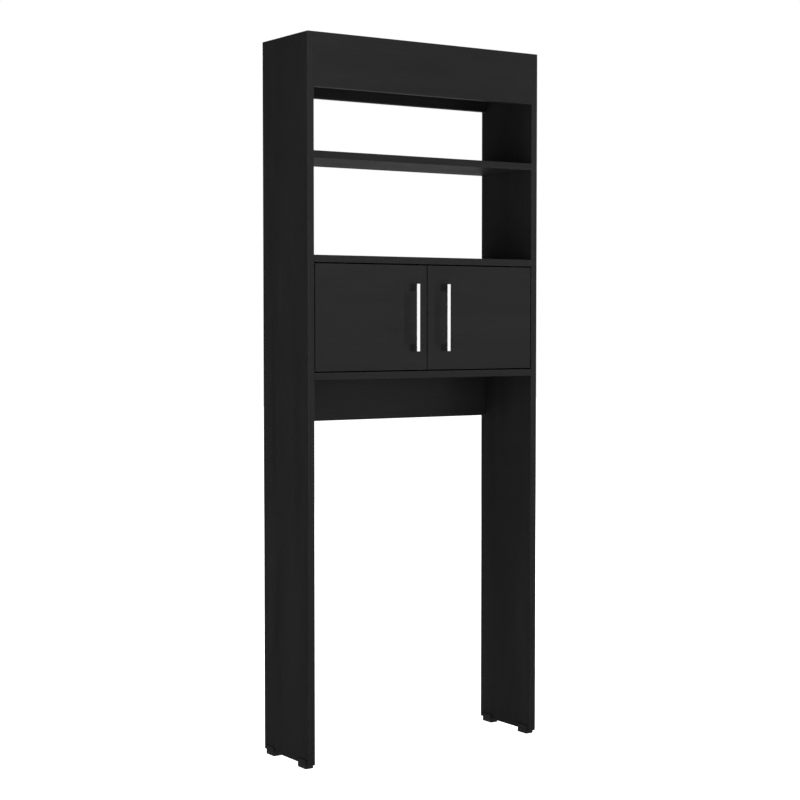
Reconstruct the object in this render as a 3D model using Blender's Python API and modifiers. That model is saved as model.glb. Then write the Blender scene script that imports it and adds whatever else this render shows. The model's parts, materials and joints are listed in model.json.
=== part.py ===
"""Over the toilet storage rack: a tall open frame of black boards with a two-door cabinet and two shelves.

Metres, +Z up. The origin is at the middle of the floor rectangle that the rack covers. The front, with the
doors and their handles, faces -Y, and the wall is at +Y. The legs stand either side of a toilet, under the
lower rear rail. Run it with: blender --background --python part.py
"""

import math

import bmesh
import bpy
from mathutils import Matrix, Vector

# Carcass, in metres
WIDTH = 0.600
DEPTH = 0.190
HEIGHT = 1.542
BOARD = 0.015
FOOT_RISE = 0.009
UNDER_RAIL = 0.723
RAIL_HEIGHT = 0.097
CABINET_INSIDE = 0.231
LOWER_BAY = 0.201
FASCIA_HEIGHT = 0.113
FIT_GAP = 0.0003
EDGE_ROUND = 0.0006

# Cabinet back, let into grooves
BACK_THICK = 0.003
GROOVE_DEPTH = 0.005
GROOVE_FROM_REAR = 0.012

# Doors and handles
DOOR_GAP = 0.0025
HANDLE_FROM_MIDDLE = 0.040
HANDLE_LENGTH = 0.146
HANDLE_WIDTH = 0.008
HANDLE_REACH = 0.026
HANDLE_STRAP = 0.003
HANDLE_LEG = 0.016
HANDLE_SCREW_RADIUS = 0.002
HANDLE_SCREW_GRIP = 0.010

# Concealed hinges. "In" is the distance from the side panel's inner face towards the middle of the
# cabinet, and "back" is the distance behind the front plane of the boards.
PIVOT_IN = 0.014
PIVOT_BACK = 0.007
PIN_RADIUS = 0.0012
PIN_LENGTH = 0.019
EYE_RADIUS = 0.0024
CUP_IN = 0.025
CUP_RADIUS = 0.0172
CUP_FRONT = 0.0038
FLANGE_THICK = 0.0012
ARM_THICK = 0.0025
ARM_WIDTH = 0.010
HINGE_FROM_DOOR_END = 0.045
PLATE_SCREW_SPACING = 0.032
CUP_SCREW_SPACING = 0.048

# Cam fittings that pull the boards to the side panels
CAM_FROM_END = 0.024
CAM_RADIUS = 0.0072
CAM_DEPTH = 0.0122
BOLT_THREAD_RADIUS = 0.0030
BOLT_SHANK_RADIUS = 0.0034
BOLT_IN_SIDE = 0.011

# Feet and wall brackets
FOOT_WIDTH = 0.020
FOOT_LENGTH = 0.031
FOOT_LIP = 0.010
FOOT_INSET = 0.012
BRACKET_LEG = 0.030
BRACKET_WIDTH = 0.020
BRACKET_THICK = 0.002
BRACKET_X = 0.200
BRACKET_HOLE_RADIUS = 0.0024

# Places worked out from the sizes above
INNER_X = WIDTH / 2 - BOARD
FRONT_Y = (HANDLE_REACH - DEPTH) / 2
REAR_Y = FRONT_Y + DEPTH
MIDDLE_Y = FRONT_Y + DEPTH / 2
GROOVE_Y = REAR_Y - GROOVE_FROM_REAR - BACK_THICK
CABINET_BOTTOM_Z = UNDER_RAIL + RAIL_HEIGHT
CABINET_FLOOR_Z = CABINET_BOTTOM_Z + BOARD
CABINET_TOP_Z = CABINET_FLOOR_Z + CABINET_INSIDE
OPEN_SHELF_Z = CABINET_TOP_Z + BOARD + LOWER_BAY
TOP_PANEL_Z = HEIGHT - BOARD
DOOR_LOW_Z = CABINET_FLOOR_Z + DOOR_GAP
DOOR_HIGH_Z = CABINET_TOP_Z - DOOR_GAP
DOOR_MIDDLE_Z = (DOOR_LOW_Z + DOOR_HIGH_Z) / 2
HANDLE_SCREW_REACH = (HANDLE_LENGTH - HANDLE_LEG) / 2

SIDES = {"left": -1, "right": 1}
ALONG = {
    "+X": Vector((1, 0, 0)),
    "-X": Vector((-1, 0, 0)),
    "+Y": Vector((0, 1, 0)),
    "-Y": Vector((0, -1, 0)),
    "+Z": Vector((0, 0, 1)),
}

LOOKS = {}
COLLECTIONS = {}


# ---------------------------------------------------------------- scene and materials


def clear_scene():
    for obj in list(bpy.data.objects):
        bpy.data.objects.remove(obj, do_unlink=True)


def make_collections():
    for key, name in (("parts", "over_toilet_storage_rack"), ("cutters", "cutters")):
        COLLECTIONS[key] = bpy.data.collections.new(name)
        bpy.context.scene.collection.children.link(COLLECTIONS[key])


def make_look(name, color, roughness, metallic=0.0):
    material = bpy.data.materials.new(name)
    material.use_nodes = True
    shader = material.node_tree.nodes["Principled BSDF"]
    shader.inputs["Base Color"].default_value = (*color, 1.0)
    shader.inputs["Roughness"].default_value = roughness
    shader.inputs["Metallic"].default_value = metallic
    LOOKS[name] = material


def make_looks():
    make_look("black_board", (0.018, 0.018, 0.018), 0.45)
    make_look("back_board", (0.026, 0.026, 0.026), 0.60)
    make_look("black_plastic", (0.015, 0.015, 0.015), 0.55)
    make_look("chrome", (0.85, 0.85, 0.86), 0.10, 1.0)
    make_look("nickel_steel", (0.62, 0.61, 0.58), 0.28, 1.0)
    make_look("zinc", (0.50, 0.51, 0.52), 0.40, 1.0)


# ---------------------------------------------------------------- shapes


def adopt(obj, name, look):
    """Names a new object and files it with the parts, or with the cutters where it has no look."""
    obj.name = name
    obj.data.name = name
    for old in list(obj.users_collection):
        old.objects.unlink(obj)
    if look:
        COLLECTIONS["parts"].objects.link(obj)
        obj.data.materials.append(LOOKS[look])
    else:
        COLLECTIONS["cutters"].objects.link(obj)
        obj.hide_render = True
        obj.display_type = "WIRE"
    return obj


def round_edges(obj, width, segments=2):
    bevel = obj.modifiers.new("round_edges", "BEVEL")
    bevel.width = width
    bevel.segments = segments
    bevel.limit_method = "ANGLE"
    bevel.angle_limit = math.radians(40)


def box(name, xs, ys, zs, look=None):
    """A box between two X, two Y and two Z places, in either order."""
    centre = Vector((sum(xs) / 2, sum(ys) / 2, sum(zs) / 2))
    bpy.ops.mesh.primitive_cube_add(size=1.0, location=centre)
    obj = bpy.context.object
    obj.scale = (abs(xs[1] - xs[0]), abs(ys[1] - ys[0]), abs(zs[1] - zs[0]))
    bpy.ops.object.transform_apply(location=False, rotation=False, scale=True)
    return adopt(obj, name, look)


def rod(name, start, direction, length, radius, look=None, sides=24):
    """A cylinder that begins at start and runs along direction."""
    mesh = bpy.data.meshes.new(name)
    shape = bmesh.new()
    bmesh.ops.create_cone(
        shape, cap_ends=True, segments=sides, radius1=radius, radius2=radius, depth=length
    )
    shape.to_mesh(mesh)
    shape.free()
    mesh.shade_smooth()
    mesh.set_sharp_from_angle(angle=math.radians(40))
    obj = bpy.data.objects.new(name, mesh)
    bpy.context.scene.collection.objects.link(obj)
    obj.location = Vector(start) + ALONG[direction] * length / 2
    obj.rotation_euler = ALONG["+Z"].rotation_difference(ALONG[direction]).to_euler()
    return adopt(obj, name, look)


def turned(name, profile, start, direction, look, steps=16):
    """A turned piece. The profile lists (radius, height) from its top end down to its foot at start."""
    mesh = bpy.data.meshes.new(name)
    shape = bmesh.new()
    points = [shape.verts.new((radius, 0.0, height)) for radius, height in profile]
    for first, second in zip(points, points[1:]):
        shape.edges.new((first, second))
    shape.to_mesh(mesh)
    shape.free()
    obj = bpy.data.objects.new(name, mesh)
    bpy.context.scene.collection.objects.link(obj)
    obj.location = start
    obj.rotation_euler = ALONG["+Z"].rotation_difference(ALONG[direction]).to_euler()
    screw = obj.modifiers.new("turn", "SCREW")
    screw.steps = steps
    screw.render_steps = steps
    screw.use_merge_vertices = True
    screw.merge_threshold = 0.00005
    screw.use_smooth_shade = True
    return adopt(obj, name, look)


def extruded(name, outline, centre, turn, thickness, look):
    """A closed flat outline in its own XY plane, given a thickness, turned and placed at centre."""
    curve = bpy.data.curves.new(name, "CURVE")
    curve.dimensions = "2D"
    curve.fill_mode = "BOTH"
    curve.extrude = thickness / 2
    spline = curve.splines.new("POLY")
    spline.points.add(len(outline) - 1)
    for point, (x, y) in zip(spline.points, outline):
        point.co = (x, y, 0.0, 1.0)
    spline.use_cyclic_u = True
    guide = bpy.data.objects.new(name, curve)
    bpy.context.scene.collection.objects.link(guide)
    guide.location = centre
    guide.rotation_euler = turn
    return adopt(solid_from_curve(guide, name), name, look)


def solid_from_curve(guide, name):
    """Replaces a filled curve object with a closed mesh object at the same place."""
    bpy.context.view_layer.update()
    evaluated = guide.evaluated_get(bpy.context.evaluated_depsgraph_get())
    mesh = bpy.data.meshes.new_from_object(evaluated)
    shape = bmesh.new()
    shape.from_mesh(mesh)
    bmesh.ops.remove_doubles(shape, verts=shape.verts, dist=0.00005)
    bmesh.ops.dissolve_limit(
        shape, angle_limit=math.radians(0.5), verts=shape.verts, edges=shape.edges
    )
    bmesh.ops.recalc_face_normals(shape, faces=shape.faces)
    shape.to_mesh(mesh)
    shape.free()
    mesh.materials.clear()
    obj = bpy.data.objects.new(name, mesh)
    bpy.context.scene.collection.objects.link(obj)
    obj.matrix_world = guide.matrix_world
    bpy.data.objects.remove(guide, do_unlink=True)
    return obj


def boolean(obj, tool, operation):
    modifier = obj.modifiers.new(tool.name, "BOOLEAN")
    modifier.operation = operation
    modifier.solver = "EXACT"
    modifier.object = tool


def cut(obj, *tools):
    for tool in tools:
        boolean(obj, tool, "DIFFERENCE")


def join(obj, *tools):
    for tool in tools:
        boolean(obj, tool, "UNION")


def hang_on(axis_empty, *pieces):
    """Parents pieces to a joint's empty without moving them."""
    for piece in pieces:
        piece.parent = axis_empty
        piece.matrix_parent_inverse = Matrix.Translation(-axis_empty.location)


# ---------------------------------------------------------------- carcass


def groove_cutter(name, xs, zs):
    """The groove that the cabinet back stands in, a little wider than the back."""
    ys = (GROOVE_Y - FIT_GAP, GROOVE_Y + BACK_THICK + FIT_GAP)
    return box(name, xs, ys, zs)


def make_side_panel(side, sign):
    outer_x = sign * WIDTH / 2
    inner_x = sign * INNER_X
    panel = box(
        f"side_panel_{side}", (inner_x, outer_x), (FRONT_Y, REAR_Y), (FOOT_RISE, HEIGHT), "black_board"
    )
    round_edges(panel, EDGE_ROUND)
    zs = (CABINET_FLOOR_Z - GROOVE_DEPTH, CABINET_TOP_Z + GROOVE_DEPTH)
    xs = (inner_x - sign * GROOVE_DEPTH, inner_x + sign * GROOVE_DEPTH)
    cut(panel, groove_cutter(f"side_groove_{side}", xs, zs))
    return panel


def make_shelf_board(name, low_z, front_y, side_panels):
    """A board between the side panels, held at each end by a cam and its bolt."""
    end_x = INNER_X - FIT_GAP
    shelf = box(name, (-end_x, end_x), (front_y, REAR_Y), (low_z, low_z + BOARD), "black_board")
    round_edges(shelf, EDGE_ROUND)
    for side, sign in SIDES.items():
        make_cam_fitting(name, side, sign, low_z, shelf, side_panels[side])
    return shelf


def make_cam_fitting(board_name, side, sign, low_z, shelf, side_panel):
    label = f"{board_name}_{side}"
    inward = "+X" if sign < 0 else "-X"
    cam_x = sign * (INNER_X - FIT_GAP - CAM_FROM_END)
    bolt_z = low_z + BOARD / 2
    side_x = sign * INNER_X
    tip_x = sign * (INNER_X + BOLT_IN_SIDE)
    pocket = rod(
        f"cam_pocket_{label}", (cam_x, MIDDLE_Y, low_z - BOARD), "+Z", BOARD + CAM_DEPTH + FIT_GAP,
        CAM_RADIUS + FIT_GAP,
    )
    bore_length = CAM_FROM_END + 2 * FIT_GAP
    bore = rod(
        f"bolt_bore_{label}", (side_x, MIDDLE_Y, bolt_z), inward, bore_length,
        BOLT_SHANK_RADIUS + FIT_GAP, sides=16,
    )
    cut(shelf, pocket, bore)
    hole_end_x = tip_x + sign * FIT_GAP
    hole = rod(
        f"bolt_hole_{label}", (hole_end_x, MIDDLE_Y, bolt_z), inward, BOLT_IN_SIDE + BOARD,
        BOLT_THREAD_RADIUS + FIT_GAP, sides=16,
    )
    cut(side_panel, hole)
    make_cam(label, cam_x, low_z, bolt_z, inward, sign)
    make_cam_bolt(label, tip_x, bolt_z, inward)


def make_cam(label, cam_x, low_z, bolt_z, inward, sign):
    cam = rod(f"cam_{label}", (cam_x, MIDDLE_Y, low_z), "+Z", CAM_DEPTH, CAM_RADIUS, "zinc", sides=24)
    beyond = 0.004
    mouth = rod(
        f"cam_mouth_{label}", (cam_x + sign * 2 * CAM_RADIUS, MIDDLE_Y, bolt_z), inward,
        2 * CAM_RADIUS + beyond, BOLT_SHANK_RADIUS + FIT_GAP, sides=16,
    )
    cut(cam, mouth)
    slot_length = 0.0045
    slot_width = 0.0009
    slot_depth = 0.0022
    long_slot = box(
        f"cam_slot_long_{label}", (cam_x - slot_length, cam_x + slot_length),
        (MIDDLE_Y - slot_width, MIDDLE_Y + slot_width), (low_z - slot_depth, low_z + slot_depth),
    )
    cross_slot = box(
        f"cam_slot_cross_{label}", (cam_x - slot_width, cam_x + slot_width),
        (MIDDLE_Y - slot_length, MIDDLE_Y + slot_length), (low_z - slot_depth, low_z + slot_depth),
    )
    cut(cam, long_slot, cross_slot)


def make_cam_bolt(label, tip_x, bolt_z, inward):
    """The bolt that screws into the side panel, with the neck and head that the cam grips."""
    head_end = BOLT_IN_SIDE + CAM_FROM_END + 0.0025
    neck_radius = 0.0020
    head_radius = 0.0032
    tip_radius = 0.0018
    profile = [
        (0.0, head_end),
        (head_radius - 0.001, head_end),
        (head_radius, head_end - 0.001),
        (head_radius, head_end - 0.0045),
        (neck_radius, head_end - 0.0055),
        (neck_radius, head_end - 0.0095),
        (BOLT_SHANK_RADIUS, head_end - 0.0110),
        (BOLT_SHANK_RADIUS, BOLT_IN_SIDE + FIT_GAP),
        (BOLT_THREAD_RADIUS, BOLT_IN_SIDE + FIT_GAP),
        (BOLT_THREAD_RADIUS, 0.0012),
        (tip_radius, 0.0),
        (0.0, 0.0),
    ]
    turned(f"cam_bolt_{label}", profile, (tip_x, MIDDLE_Y, bolt_z), inward, "nickel_steel", steps=12)


def make_rails():
    end_x = INNER_X - FIT_GAP
    rear_ys = (REAR_Y - BOARD, REAR_Y)
    fascia = box(
        "fascia_board", (-end_x, end_x), (FRONT_Y, FRONT_Y + BOARD), (HEIGHT - FASCIA_HEIGHT, HEIGHT),
        "black_board",
    )
    upper_high = TOP_PANEL_Z - FIT_GAP
    upper = box(
        "upper_rear_rail", (-end_x, end_x), rear_ys, (upper_high - RAIL_HEIGHT, upper_high), "black_board"
    )
    lower_high = CABINET_BOTTOM_Z - FIT_GAP
    lower = box("lower_rear_rail", (-end_x, end_x), rear_ys, (UNDER_RAIL, lower_high), "black_board")
    for board in (fascia, upper, lower):
        round_edges(board, EDGE_ROUND)


def make_cabinet_back(cabinet_top, cabinet_bottom):
    reach = GROOVE_DEPTH - FIT_GAP
    back_x = INNER_X + reach
    box(
        "cabinet_back", (-back_x, back_x), (GROOVE_Y, GROOVE_Y + BACK_THICK),
        (CABINET_FLOOR_Z - reach, CABINET_TOP_Z + reach), "back_board",
    )
    xs = (-INNER_X - BOARD, INNER_X + BOARD)
    floor_zs = (CABINET_FLOOR_Z - GROOVE_DEPTH, CABINET_FLOOR_Z + GROOVE_DEPTH)
    roof_zs = (CABINET_TOP_Z - GROOVE_DEPTH, CABINET_TOP_Z + GROOVE_DEPTH)
    cut(cabinet_bottom, groove_cutter("floor_groove", xs, floor_zs))
    cut(cabinet_top, groove_cutter("roof_groove", xs, roof_zs))


def make_carcass():
    side_panels = {side: make_side_panel(side, sign) for side, sign in SIDES.items()}
    make_shelf_board("top_panel", TOP_PANEL_Z, FRONT_Y + BOARD + FIT_GAP, side_panels)
    make_shelf_board("open_shelf", OPEN_SHELF_Z, FRONT_Y, side_panels)
    cabinet_top = make_shelf_board("cabinet_top", CABINET_TOP_Z, FRONT_Y, side_panels)
    cabinet_bottom = make_shelf_board("cabinet_bottom", CABINET_BOTTOM_Z, FRONT_Y, side_panels)
    make_rails()
    make_cabinet_back(cabinet_top, cabinet_bottom)


# ---------------------------------------------------------------- doors and handles


def make_joint_axis(side, sign):
    """The empty on a door's pivot axis, halfway up the door. What turns with the door hangs on it."""
    axis_empty = bpy.data.objects.new(f"{side}_door_axis", None)
    axis_empty.location = (sign * (INNER_X - PIVOT_IN), FRONT_Y + PIVOT_BACK, DOOR_MIDDLE_Z)
    axis_empty.empty_display_size = 0.05
    COLLECTIONS["parts"].objects.link(axis_empty)
    return axis_empty


def make_door(side, sign):
    xs = (sign * DOOR_GAP / 2, sign * (INNER_X - DOOR_GAP))
    door = box(f"door_{side}", xs, (FRONT_Y, FRONT_Y + BOARD), (DOOR_LOW_Z, DOOR_HIGH_Z), "black_board")
    round_edges(door, EDGE_ROUND)
    for level, z in hinge_heights().items():
        recess = rod(
            f"cup_recess_{side}_{level}", (sign * (INNER_X - CUP_IN), FRONT_Y + CUP_FRONT - FIT_GAP, z),
            "+Y", BOARD, CUP_RADIUS + FIT_GAP, sides=32,
        )
        cut(door, recess)
    return door


def make_handle(side, sign):
    """A cast bow handle: two legs and a flat strap, as one outline in side view, seen along X."""
    half = HANDLE_LENGTH / 2
    leg = half - HANDLE_LEG
    far = HANDLE_REACH - FIT_GAP
    strap = far - HANDLE_STRAP
    outer = [(0, -half), (far, -half), (far, half), (0, half)]
    inner = [(0, leg), (strap, leg), (strap, -leg), (0, -leg)]
    handle_x = sign * HANDLE_FROM_MIDDLE
    side_view = (math.pi / 2, 0, -math.pi / 2)
    handle = extruded(
        f"handle_{side}", outer + inner, (handle_x, FRONT_Y - FIT_GAP, DOOR_MIDDLE_Z), side_view,
        HANDLE_WIDTH, "chrome",
    )
    round_edges(handle, 0.0008)
    return handle


def make_handle_screws(side, sign, door, handle):
    head_height = 0.0022
    head_radius = 0.0040
    head_y = FRONT_Y + BOARD + FIT_GAP
    shank = BOARD + HANDLE_SCREW_GRIP
    profile = [
        (0.0, shank),
        (HANDLE_SCREW_RADIUS - 0.0004, shank),
        (HANDLE_SCREW_RADIUS, shank - 0.0006),
        (HANDLE_SCREW_RADIUS, 0.0),
        (head_radius, 0.0),
        (head_radius, 0.0010 - head_height),
        (head_radius - 0.0010, -head_height),
        (0.0, -head_height),
    ]
    screws = []
    handle_x = sign * HANDLE_FROM_MIDDLE
    for level, way in (("upper", 1), ("lower", -1)):
        z = DOOR_MIDDLE_Z + way * HANDLE_SCREW_REACH
        bore = rod(
            f"handle_bore_{side}_{level}", (handle_x, head_y + BOARD, z), "-Y",
            2 * BOARD + HANDLE_SCREW_GRIP + 0.001, HANDLE_SCREW_RADIUS + FIT_GAP, sides=16,
        )
        cut(door, bore)
        cut(handle, bore)
        screw = turned(
            f"handle_screw_{side}_{level}", profile, (handle_x, head_y, z), "-Y", "nickel_steel", steps=12
        )
        screws.append(screw)
    return screws


# ---------------------------------------------------------------- hinges


def hinge_heights():
    return {"upper": DOOR_HIGH_Z - HINGE_FROM_DOOR_END, "lower": DOOR_LOW_Z + HINGE_FROM_DOOR_END}


def hinge_xs(sign, near, far):
    """The X places of two distances from the side panel's inner face."""
    return (sign * (INNER_X - near), sign * (INNER_X - far))


def hinge_ys(front, back):
    return (FRONT_Y + front, FRONT_Y + back)


def make_hinge_cup(label, sign, z):
    """The cup let into the door, with its screw flange and the slot that the arm reaches into."""
    cup_x = sign * (INNER_X - CUP_IN)
    rim = BOARD + FIT_GAP
    cup = rod(
        f"hinge_cup_{label}", (cup_x, FRONT_Y + CUP_FRONT, z), "+Y", rim + FLANGE_THICK - CUP_FRONT,
        CUP_RADIUS, "nickel_steel", sides=32,
    )
    wing_half_height = CUP_SCREW_SPACING / 2 + 0.006
    wings = box(
        f"cup_wings_{label}", hinge_xs(sign, CUP_IN - 0.008, CUP_IN + 0.008),
        hinge_ys(rim, rim + FLANGE_THICK), (z - wing_half_height, z + wing_half_height),
    )
    join(cup, wings)
    well_bottom = 0.0096
    well = rod(
        f"cup_well_{label}", (cup_x, FRONT_Y + well_bottom, z), "+Y", BOARD, CUP_RADIUS - 0.0016, sides=32
    )
    slot_half_height = ARM_WIDTH / 2 + 0.0004
    slot = box(
        f"cup_slot_{label}", hinge_xs(sign, 0.0106, 0.0305), hinge_ys(0.0044, 2 * BOARD),
        (z - slot_half_height, z + slot_half_height),
    )
    pin_start = (sign * (INNER_X - PIVOT_IN), FRONT_Y + PIVOT_BACK, z - PIN_LENGTH / 2 - FIT_GAP)
    pin_hole = rod(
        f"cup_pin_hole_{label}", pin_start, "+Z", PIN_LENGTH + 2 * FIT_GAP, PIN_RADIUS + FIT_GAP, sides=16
    )
    cut(cup, well, slot, pin_hole)
    for way in (-1, 1):
        screw_hole = rod(
            f"cup_screw_hole_{label}_{way}", (cup_x, FRONT_Y + BOARD / 2, z + way * CUP_SCREW_SPACING / 2),
            "+Y", BOARD, 0.0018, sides=12,
        )
        cut(cup, screw_hole)
    return cup


def make_hinge_pin(label, sign, z):
    start = (sign * (INNER_X - PIVOT_IN), FRONT_Y + PIVOT_BACK, z - PIN_LENGTH / 2)
    return rod(f"hinge_pin_{label}", start, "+Z", PIN_LENGTH, PIN_RADIUS, "nickel_steel", sides=16)


def thickened(path, thickness):
    """The outline of a bent strip whose middle line is path."""
    left = []
    right = []
    for index, point in enumerate(path):
        before = path[max(index - 1, 0)]
        after = path[min(index + 1, len(path) - 1)]
        first = (point - before).normalized() if index else (after - point).normalized()
        second = (after - point).normalized() if index < len(path) - 1 else first
        bisector = (first + second).normalized()
        normal = Vector((-bisector.y, bisector.x))
        reach = thickness / 2 / max(bisector.dot(first), 0.4)
        left.append(point + normal * reach)
        right.append(point - normal * reach)
    return left + right[::-1]


def make_hinge_arm(label, sign, z):
    """The bent arm from the mounting plate round the door's edge to the pin, as (in, back) places."""
    path = [
        Vector((0.0100, 0.0620)),
        Vector((0.0100, 0.0350)),
        Vector((0.0270, 0.0240)),
        Vector((0.0270, 0.0100)),
        Vector((0.0245, 0.0078)),
        Vector((PIVOT_IN, PIVOT_BACK)),
    ]
    outline = [(sign * -point.x, point.y) for point in thickened(path, ARM_THICK)]
    arm = extruded(
        f"hinge_arm_{label}", outline, (sign * INNER_X, FRONT_Y, z), (0, 0, 0), ARM_WIDTH, "nickel_steel"
    )
    pivot_x = sign * (INNER_X - PIVOT_IN)
    pivot_y = FRONT_Y + PIVOT_BACK
    eye = rod(
        f"arm_eye_{label}", (pivot_x, pivot_y, z - ARM_WIDTH / 2), "+Z", ARM_WIDTH, EYE_RADIUS, sides=24
    )
    join(arm, eye)
    eye_hole = rod(
        f"arm_eye_hole_{label}", (pivot_x, pivot_y, z - ARM_WIDTH), "+Z", 2 * ARM_WIDTH,
        PIN_RADIUS + FIT_GAP, sides=16,
    )
    screw_hole = rod(
        f"arm_screw_hole_{label}", (sign * (INNER_X - 0.001), FRONT_Y + 0.055, z),
        "-X" if sign > 0 else "+X", 0.020, 0.0026, sides=16,
    )
    cut(arm, eye_hole, screw_hole)


def make_hinge_plate(label, sign, z):
    """The mounting plate on the side panel: a cross plate and the raised rail that carries the arm."""
    wing_half_height = PLATE_SCREW_SPACING / 2 + 0.006
    plate = box(
        f"hinge_plate_{label}", hinge_xs(sign, FIT_GAP, 0.0025), hinge_ys(0.0300, 0.0440),
        (z - wing_half_height, z + wing_half_height), "nickel_steel",
    )
    rail = box(
        f"plate_rail_{label}", hinge_xs(sign, FIT_GAP, 0.0083), hinge_ys(0.0330, 0.0640),
        (z - 0.006, z + 0.006),
    )
    join(plate, rail)
    for way in (-1, 1):
        screw_hole = rod(
            f"plate_screw_hole_{label}_{way}",
            (sign * (INNER_X + 0.005), FRONT_Y + 0.037, z + way * PLATE_SCREW_SPACING / 2),
            "-X" if sign > 0 else "+X", 0.020, 0.0022, sides=12,
        )
        cut(plate, screw_hole)


def make_hinges(side, sign):
    """Both hinges of a door. Returns the pieces that turn with the door."""
    turning = []
    for level, z in hinge_heights().items():
        label = f"{side}_{level}"
        turning.append(make_hinge_cup(label, sign, z))
        turning.append(make_hinge_pin(label, sign, z))
        make_hinge_arm(label, sign, z)
        make_hinge_plate(label, sign, z)
    return turning


def make_door_set(side, sign):
    door = make_door(side, sign)
    handle = make_handle(side, sign)
    screws = make_handle_screws(side, sign, door, handle)
    hinge_pieces = make_hinges(side, sign)
    hang_on(make_joint_axis(side, sign), door, handle, *screws, *hinge_pieces)


# ---------------------------------------------------------------- feet and wall brackets


def make_foot(side, sign, end, middle_y):
    """A glide in a U section that clips round the side panel's bottom edge."""
    half = FOOT_WIDTH / 2
    slot = BOARD / 2 + FIT_GAP
    seat = FOOT_RISE - FIT_GAP
    top = FOOT_RISE + FOOT_LIP
    outer = [(-half, top), (-half, 0), (half, 0), (half, top)]
    inner = [(slot, top), (slot, seat), (-slot, seat), (-slot, top)]
    foot = extruded(
        f"foot_{side}_{end}", outer + inner, (sign * (INNER_X + BOARD / 2), middle_y, 0),
        (math.pi / 2, 0, 0), FOOT_LENGTH, "black_plastic",
    )
    round_edges(foot, 0.0007)


def make_feet():
    reach = DEPTH / 2 - FOOT_INSET - FOOT_LENGTH / 2
    for side, sign in SIDES.items():
        make_foot(side, sign, "front", MIDDLE_Y - reach)
        make_foot(side, sign, "rear", MIDDLE_Y + reach)


def make_wall_bracket(side, sign, top_panel):
    """A steel angle under the top panel, for the screw that holds the rack to the wall."""
    roof = TOP_PANEL_Z - FIT_GAP
    rail_y = REAR_Y - BOARD - FIT_GAP
    bracket_x = sign * BRACKET_X
    leg = BRACKET_LEG
    thick = BRACKET_THICK
    outline = [(0, 0), (-leg, 0), (-leg, -thick), (-thick, -thick), (-thick, -leg), (0, -leg)]
    bracket = extruded(
        f"wall_bracket_{side}", outline, (bracket_x, rail_y, roof), (math.pi / 2, 0, math.pi / 2),
        BRACKET_WIDTH, "zinc",
    )
    hole_middle = leg * 0.6
    roof_hole_y = rail_y - hole_middle
    roof_hole = rod(
        f"bracket_roof_hole_{side}", (bracket_x, roof_hole_y, roof - 2 * thick), "+Z", 4 * thick,
        BRACKET_HOLE_RADIUS, sides=16,
    )
    wall_hole = rod(
        f"bracket_wall_hole_{side}", (bracket_x, rail_y - 2 * thick, roof - hole_middle), "+Y", 4 * thick,
        BRACKET_HOLE_RADIUS, sides=16,
    )
    cut(bracket, roof_hole, wall_hole)
    make_bracket_screw(side, (bracket_x, roof_hole_y, roof - thick - FIT_GAP), top_panel)


def make_bracket_screw(side, head_seat, top_panel):
    shank_radius = 0.0018
    head_radius = 0.0036
    head_height = 0.0020
    length = 0.0125
    profile = [
        (0.0, length),
        (shank_radius, length - 0.003),
        (shank_radius, 0.0),
        (head_radius, 0.0),
        (head_radius, 0.0008 - head_height),
        (head_radius - 0.0012, -head_height),
        (0.0, -head_height),
    ]
    turned(f"bracket_screw_{side}", profile, head_seat, "+Z", "nickel_steel", steps=12)
    pilot = rod(
        f"bracket_pilot_{side}", head_seat, "+Z", length + FIT_GAP, shank_radius + FIT_GAP, sides=16
    )
    cut(top_panel, pilot)


def make_wall_brackets():
    top_panel = bpy.data.objects["top_panel"]
    for side, sign in SIDES.items():
        make_wall_bracket(side, sign, top_panel)


def main():
    clear_scene()
    make_collections()
    make_looks()
    make_carcass()
    for side, sign in SIDES.items():
        make_door_set(side, sign)
    make_feet()
    make_wall_brackets()


main()
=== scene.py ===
import json
import math

import bmesh
import bpy
from mathutils import Euler, Matrix, Vector

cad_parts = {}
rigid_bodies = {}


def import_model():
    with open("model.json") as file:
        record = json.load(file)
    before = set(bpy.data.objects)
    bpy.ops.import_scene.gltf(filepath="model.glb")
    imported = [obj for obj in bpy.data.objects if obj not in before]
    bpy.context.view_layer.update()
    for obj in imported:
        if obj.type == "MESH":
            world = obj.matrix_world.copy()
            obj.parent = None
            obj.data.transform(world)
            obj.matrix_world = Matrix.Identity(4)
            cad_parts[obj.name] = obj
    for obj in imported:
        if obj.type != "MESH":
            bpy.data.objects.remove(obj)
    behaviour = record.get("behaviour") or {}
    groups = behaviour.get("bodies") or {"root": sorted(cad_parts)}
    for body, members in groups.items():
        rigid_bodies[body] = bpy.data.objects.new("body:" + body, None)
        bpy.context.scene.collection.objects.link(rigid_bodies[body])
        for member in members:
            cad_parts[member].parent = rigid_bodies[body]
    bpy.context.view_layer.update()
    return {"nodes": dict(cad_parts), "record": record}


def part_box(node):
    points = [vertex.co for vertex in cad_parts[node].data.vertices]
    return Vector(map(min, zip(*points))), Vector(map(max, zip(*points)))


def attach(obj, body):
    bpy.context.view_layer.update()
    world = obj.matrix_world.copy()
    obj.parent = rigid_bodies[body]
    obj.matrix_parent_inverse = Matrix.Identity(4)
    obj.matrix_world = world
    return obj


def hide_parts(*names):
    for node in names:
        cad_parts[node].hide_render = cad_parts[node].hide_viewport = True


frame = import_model()

# Everything below is in metres, in the frame's own axes: +Z up, the doors facing -Y.

NODES = frame["nodes"]
SIDES = {"left": -1, "right": 1}
LEVELS = ("upper", "lower")
X_AXIS = Vector((1, 0, 0))
Y_AXIS = Vector((0, 1, 0))
Z_AXIS = Vector((0, 0, 1))

# Camera
CAMERA_PLACE = Vector((-2.1812, -3.2571, 0.9411))
CAMERA_TURN = math.radians(33.61)
CAMERA_DIP = math.radians(2.52)
CAMERA_LENS_MM = 79.8
SENSOR_MM = 36.0

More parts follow.
